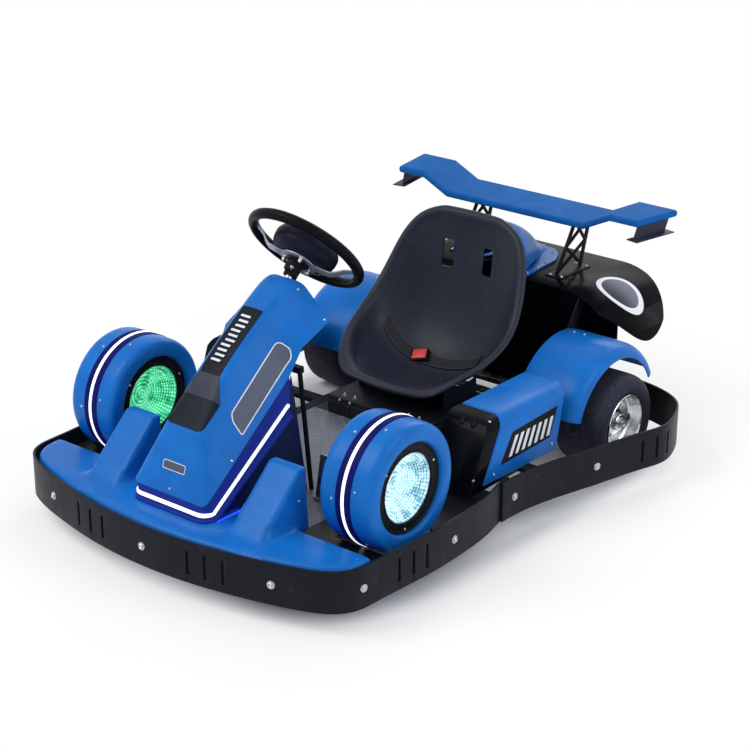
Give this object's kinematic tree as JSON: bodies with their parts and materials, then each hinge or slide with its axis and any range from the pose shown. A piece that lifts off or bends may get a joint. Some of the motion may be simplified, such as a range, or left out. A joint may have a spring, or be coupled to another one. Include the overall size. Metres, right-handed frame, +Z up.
{
  "type": "electric drift kart",
  "caption": "Low electric drift kart with a wrap-round bumper band, faceted nose, round lit front fairings, bucket seat and a small rear wing.",
  "frame": {"origin": "on the floor under the middle of the kart's box", "axes": "+X to the driver's left, +Y to the rear, +Z up"},
  "size_m": [1.252, 1.653, 0.8045],
  "materials": {
    "black_band": "satin moulded bumper plastic",
    "blue_shell": "gloss blue moulded shell",
    "indigo_trim": "satin indigo plastic",
    "white_light": "frosted light strip",
    "lens": "clear lens over a reflector",
    "black_plastic": "satin black plastic",
    "frame_paint": "satin dark powder coat",
    "tread_plate": "worn tread plate",
    "slate_paint": "grey-blue satin paint",
    "tyre": "slick rubber",
    "rim_metal": "polished spun aluminium",
    "steel": "bright steel",
    "seat_shell": "fine-grained moulded plastic",
    "belt": "woven webbing",
    "red_plastic": "gloss red plastic",
    "wheel_grip": "soft moulded grip",
    "deck_gloss": "gloss black sheet",
    "case_black": "textured case plastic"
  },
  "bodies": {
    "chassis": {"front_bumper_band": "black_band", "rear_bumper_band": "black_band", "bumper_arms": "frame_paint", "frame_rails": "frame_paint", "frame_crossmembers": "frame_paint", "floor_pan": "tread_plate", "rear_stub_axles": "steel", "tower_side_plates": "slate_paint", "steering_head": "frame_paint", "steering_column_bearing": "slate_paint", "nose_cowl": "blue_shell", "nose_spine": "deck_gloss", "nose_plinth": "indigo_trim", "nose_light_strip": "white_light", "front_deck": "blue_shell", "drum_shells": "blue_shell", "drum_bands": "indigo_trim", "drum_light_rings": "white_light", "drum_bezels": "black_plastic", "drum_lenses": "lens", "drum_saddles": "frame_paint", "seat_shell": "seat_shell", "seat_brackets": "frame_paint", "seat_cross_bars": "steel", "deck_stays": "frame_paint", "lap_belt": "belt", "belt_buckle": "red_plastic", "battery_box": "case_black", "pedals": "steel", "side_pods": "blue_shell", "side_intakes": "deck_gloss", "rear_fenders": "blue_shell", "rear_deck": "deck_gloss", "rear_bulkhead": "deck_gloss", "bulkhead_stays": "frame_paint", "headrest_dome": "blue_shell", "wing_blade": "blue_shell", "wing_endplates": "frame_paint", "wing_posts": "black_plastic"},
    "front_fork": {"front_fork": "frame_paint", "front_axle_bolt": "steel"},
    "front_wheel": {"front_tyre": "tyre", "front_hub": "rim_metal"},
    "steering_wheel": {"steering_wheel_rim": "wheel_grip", "steering_wheel_hub": "black_plastic", "steering_shaft": "steel"},
    "rear_wheel_left": {"rear_tyre_left": "tyre", "rear_hub_left": "rim_metal"},
    "rear_wheel_right": {"rear_tyre_right": "tyre", "rear_hub_right": "rim_metal"}
  },
  "joints": [
    {"name": "fork_steer", "type": "hinge", "parent": "chassis", "child": "front_fork", "pos_m": [0, -0.4325, 0.3], "axis": [0, 0, 1], "range_deg": [-40, 40]},
    {"name": "steering_turn", "type": "hinge", "parent": "chassis", "child": "steering_wheel", "pos_m": [0, -0.2375, 0.683], "axis": [0, 0.7431, 0.6691], "range_deg": [-60, 60]},
    {"name": "front_wheel_spin", "type": "hinge", "parent": "front_fork", "child": "front_wheel", "pos_m": [0, -0.4325, 0.095], "axis": [1, 0, 0], "continuous": true},
    {"name": "rear_wheel_left_spin", "type": "hinge", "parent": "chassis", "child": "rear_wheel_left", "pos_m": [0.44, 0.4415, 0.132], "axis": [1, 0, 0], "continuous": true},
    {"name": "rear_wheel_right_spin", "type": "hinge", "parent": "chassis", "child": "rear_wheel_right", "pos_m": [-0.44, 0.4415, 0.132], "axis": [1, 0, 0], "continuous": true}
  ],
  "couplings": [
    {"joint": "steering_turn", "follows": "fork_steer", "ratio": 1.5}
  ]
}
